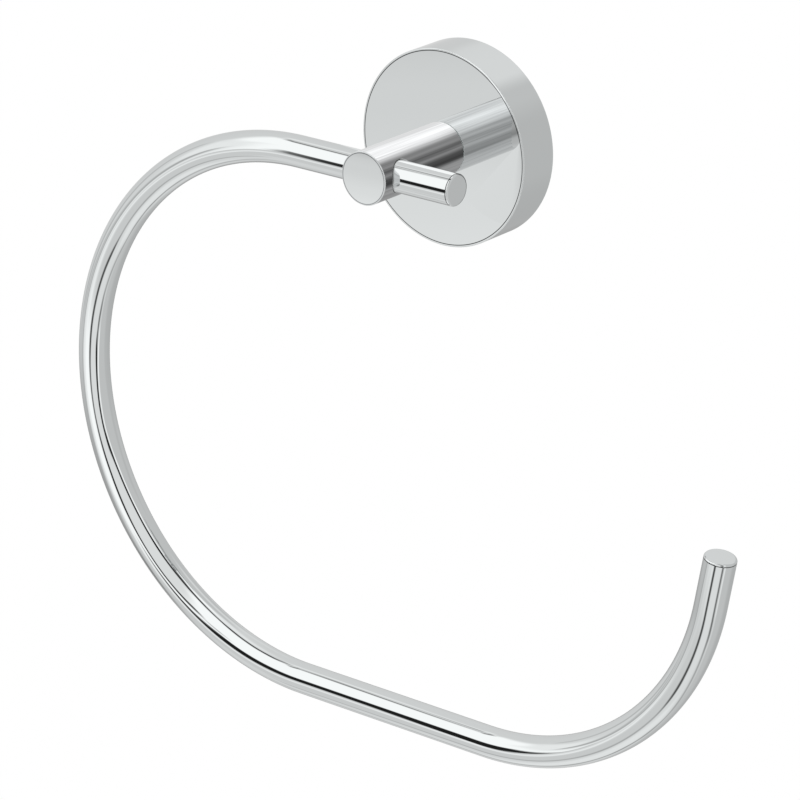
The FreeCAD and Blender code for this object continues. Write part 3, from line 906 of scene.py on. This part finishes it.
def panel_cover(directions, middle, points, soft):
    """How much of a panel covers each direction, from 0 to 1.

    The map is flat about the middle: a direction's distance from the centre is its angle to the middle, and
    what lies right behind it has no place. A direction is inside if a line from it to the side crosses the
    outline an odd number of times, and the cover rises over the soft edge, with a half on the outline.
    """
    right_behind = -0.99
    centre = toward(*middle)
    right = np.cross(UP, centre)
    right /= np.linalg.norm(right)
    up = np.cross(centre, right)

    def flat(places):
        angle = np.degrees(np.arccos(np.clip(places @ centre, -1, 1)))
        across, along = places @ right, places @ up
        length = np.maximum(np.hypot(across, along), TINY)
        return np.stack([angle * across / length, angle * along / length], -1)

    outline, places = flat(toward(*np.array(points, float).T)), flat(directions)
    inside = np.zeros(len(places), bool)
    distance = np.full(len(places), np.inf)
    for start, end in zip(outline, np.roll(outline, -1, axis=0)):
        side = end - start
        share = np.clip((places - start) @ side / (side @ side), 0, 1)
        distance = np.minimum(distance, np.linalg.norm(places - start - share[:, None] * side, axis=1))
        rise = side[1] if side[1] else TINY
        crossing = start[0] + (places[:, 1] - start[1]) * side[0] / rise
        inside ^= ((start[1] > places[:, 1]) != (end[1] > places[:, 1])) & (places[:, 0] < crossing)
    return eased(0.5 + np.where(inside, distance, -distance) / soft) * (directions @ centre > right_behind)


def tent_grey(directions):
    """Grey that the tent shows in the chrome in each direction."""
    grey = np.full(len(directions), PLAIN_CLOTH)
    for shade, soft, middle, points in TENT:
        if middle is None:
            cover = strip_cover(directions, points, soft)
        else:
            cover = panel_cover(directions, middle, points, soft)
        grey += cover * (shade - grey)
    return grey


def glow_cloth():
    """Cloth that shines as bright as its points say on the side it faces, and is clear from behind."""
    material = bpy.data.materials.new("Tent cloth")
    material.use_nodes = True
    tree = material.node_tree
    tree.nodes.remove(tree.nodes["Principled BSDF"])
    light = node(tree, "ShaderNodeAttribute", {"attribute_name": "Light"}, {}).outputs["Color"]
    glow = node(tree, "ShaderNodeEmission", {"Strength": 1.0}, {"Color": light}).outputs["Emission"]
    clear = node(tree, "ShaderNodeBsdfTransparent", {}, {}).outputs["BSDF"]
    behind = node(tree, "ShaderNodeNewGeometry", {}, {}).outputs["Backfacing"]
    sides = node(tree, "ShaderNodeMixShader", {}, {0: behind, 1: glow, 2: clear})
    tree.links.new(sides.outputs["Shader"], tree.nodes["Material Output"].inputs["Surface"])
    material.cycles.emission_sampling = "NONE"
    return material


def hang(name, points, grey, reflectance, material):
    """Sheet through a grid of points that only mirror finishes see.

    Chrome of the given reflectance shows it in the grey of each point, from 0 to 255.
    """
    mesh = bpy.data.meshes.new(name)
    mesh.from_pydata(points.reshape(-1, 3), [], cells(*points.shape[:2], (0, 1, 2, 3)).reshape(-1, 4))
    mesh.update()
    light = brightness(grey.ravel() / 255) / reflectance
    layer = mesh.color_attributes.new("Light", "FLOAT_COLOR", "POINT")
    layer.data.foreach_set("color", np.column_stack([light, light, light, np.ones_like(light)]).ravel())
    mesh.materials.append(material)
    sheet = shown(name, mesh)
    sheet.visible_camera = sheet.visible_diffuse = sheet.visible_shadow = False
    sheet.visible_transmission = sheet.visible_volume_scatter = False


def tent_sheet(radius):
    """Points and greys of the light tent: a sphere about the middle of the ring's height, facing inwards."""
    middle, steps_up = np.array([0.0, -0.035, -0.06]), 240
    elevation = np.linspace(-90, 90, steps_up + 1)[:, None]
    directions = toward(np.linspace(-180, 180, 2 * steps_up + 1), elevation)
    return middle + radius * directions, tent_grey(directions.reshape(-1, 3))


# Stripes of the cards that the post's side and its image in the rose show: the angle round the post, which is
# in degrees from RIGHT towards UP, and the grey
SIDE_STRIPES = [
    (-60, 150), (-11, 148), (-5, 82), (0, 60), (8, 78), (17, 132), (25, 95), (32, 124), (43, 136), (52, 218),
    (60, 250), (85, 255), (90, 245), (100, 225), (125, 210)]
IMAGE_STRIPES = [
    (-50, 189), (-33, 188), (-26, 176), (-9, 172), (0, 130), (8, 140), (17, 163), (25, 150), (40, 164),
    (50, 208), (65, 232), (83, 214)]


def stripe_grey(angle, stripes):
    """Grey of a card at an angle round the post, in radians, which changes evenly from stripe to stripe."""
    return np.interp(np.degrees(angle), *zip(*stripes))


def post_card(post_radius, plane, length, stripes):
    """Points and greys of a card square to the post, which gives the post's side its greys.

    A view ray that meets the side at a normal n leaves it along r = 2 (c . n) n - c, where c points to the
    camera, and runs on to the card. Every column of the card is the line where the rays from one angle of
    the post arrive, so the post shows one grey along its whole length there. Rays that come by way of the
    rose run forward and not back, but the same way across the post's axis.
    """
    rows = 12
    angle = np.radians(np.arange(stripes[0][0], stripes[-1][0] + 1, 1.0))
    normal = np.cos(angle)[:, None] * RIGHT + np.sin(angle)[:, None] * UP
    camera = toward(CAMERA_AZIMUTH, CAMERA_ELEVATION)
    leaving = 2 * (normal @ camera)[:, None] * normal - camera
    across = leaving - (leaving @ OUT)[:, None] * OUT
    run = np.linspace(0, length, rows)[:, None, None] / (camera @ OUT)
    points = post_radius * normal + plane * OUT + run * across
    return points, np.broadcast_to(stripe_grey(angle, stripes), points.shape[:2])


def bore_card(post_radius, hole, depth, stripes):
    """Points and greys of a card over the mouth of the post's bore, with the stripes of the post's image."""
    columns, gap = 48, 0.02 * MM
    turn = around(columns)
    rows = [hole_loop(post_radius, share * hole, depth, turn) for share in (0.01, 0.25, 0.5, 0.75, 1.0)]
    angle, along = (np.stack(values) for values in zip(*rows))
    points, _ = on_cylinder(post_radius + gap, angle, along, RIGHT, UP)
    return points, stripe_grey(angle, stripes)


class TOWELRING_OT_stage(Operator):
    """Set up the camera, the white floor and the light tent"""

    bl_idname = "towelring.stage"
    bl_label = "Stage"

    def execute(self, context):
        scene = context.scene
        ring, post = scene.towelring_ring, scene.towelring_post
        place_camera()
        white_world()
        lay_floor(scene.towelring_stage.floor)
        once, cloth = linear(scene.towelring_finish.chrome)[1], glow_cloth()
        hang("Light tent", *tent_sheet(scene.towelring_stage.tent), once, cloth)
        radius, face, front = post.diameter / 2, -span("wall_rose", 1)[0], -span("post", 1)[0]
        clear, reach = 0.1 * MM, front - face
        side = post_card(radius, face + clear, reach, SIDE_STRIPES)
        hang("Card behind the post", *side, once, cloth)
        # The post's image is seen in two mirrors, and its cards face forwards, the other way. Every ray that
        # leaves the bar forwards starts before the bar's centre line, so a card in the plane of that line
        # doesn't show in the bar. The card over the bore's mouth keeps the image of the post unbroken
        image = post_card(radius, ring.out, ring.out - face, IMAGE_STRIPES)
        hang("Card before the rose", *(grid[::-1] for grid in image), once**2, cloth)
        mouth = ring.bar / 2 + post.bore_round + 2 * clear
        over_mouth = bore_card(radius, mouth, ring.out, IMAGE_STRIPES)
        hang("Card over the bore", *(grid[::-1] for grid in over_mouth), once, cloth)
        scene.view_settings.view_transform = "Standard"
        return {"FINISHED"}


# The add-on


class TOWELRING_PT_panel(Panel):
    """Towel ring in the sidebar"""

    bl_label = "Towel Ring"
    bl_idname = "TOWELRING_PT_panel"
    bl_space_type = "VIEW_3D"
    bl_region_type = "UI"
    bl_category = "Towel Ring"

    def draw(self, context):
        layout = self.layout
        layout.use_property_split = True
        for group, settings, operator in PARTS:
            box = layout.box()
            values = getattr(context.scene, group)
            for name in settings.__annotations__:
                box.prop(values, name)
            if operator:
                box.operator(operator.bl_idname)
        layout.operator(TOWELRING_OT_fixings.bl_idname)


PARTS = (
    ("towelring_finish", TOWELRING_PG_finish, None),
    ("towelring_ring", TOWELRING_PG_ring, TOWELRING_OT_ring),
    ("towelring_post", TOWELRING_PG_post, TOWELRING_OT_post),
    ("towelring_rose", TOWELRING_PG_rose, TOWELRING_OT_rose),
    ("towelring_stage", TOWELRING_PG_stage, TOWELRING_OT_stage),
)
CLASSES = [settings for _, settings, _ in PARTS] + [operator for _, _, operator in PARTS if operator]
CLASSES += [TOWELRING_OT_fixings, TOWELRING_PT_panel]


def register():
    for kind in CLASSES:
        bpy.utils.register_class(kind)
    for group, settings, _ in PARTS:
        setattr(bpy.types.Scene, group, PointerProperty(type=settings))


def unregister():
    for group, _, _ in PARTS:
        delattr(bpy.types.Scene, group)
    for kind in reversed(CLASSES):
        bpy.utils.unregister_class(kind)


def main():
    """Make every piece and the stage."""
    register()
    bpy.ops.towelring.stage()
    bpy.ops.towelring.ring()
    bpy.ops.towelring.post()
    bpy.ops.towelring.rose()
    bpy.ops.towelring.fixings()
    bpy.context.view_layer.update()


if __name__ == "__main__":
    main()
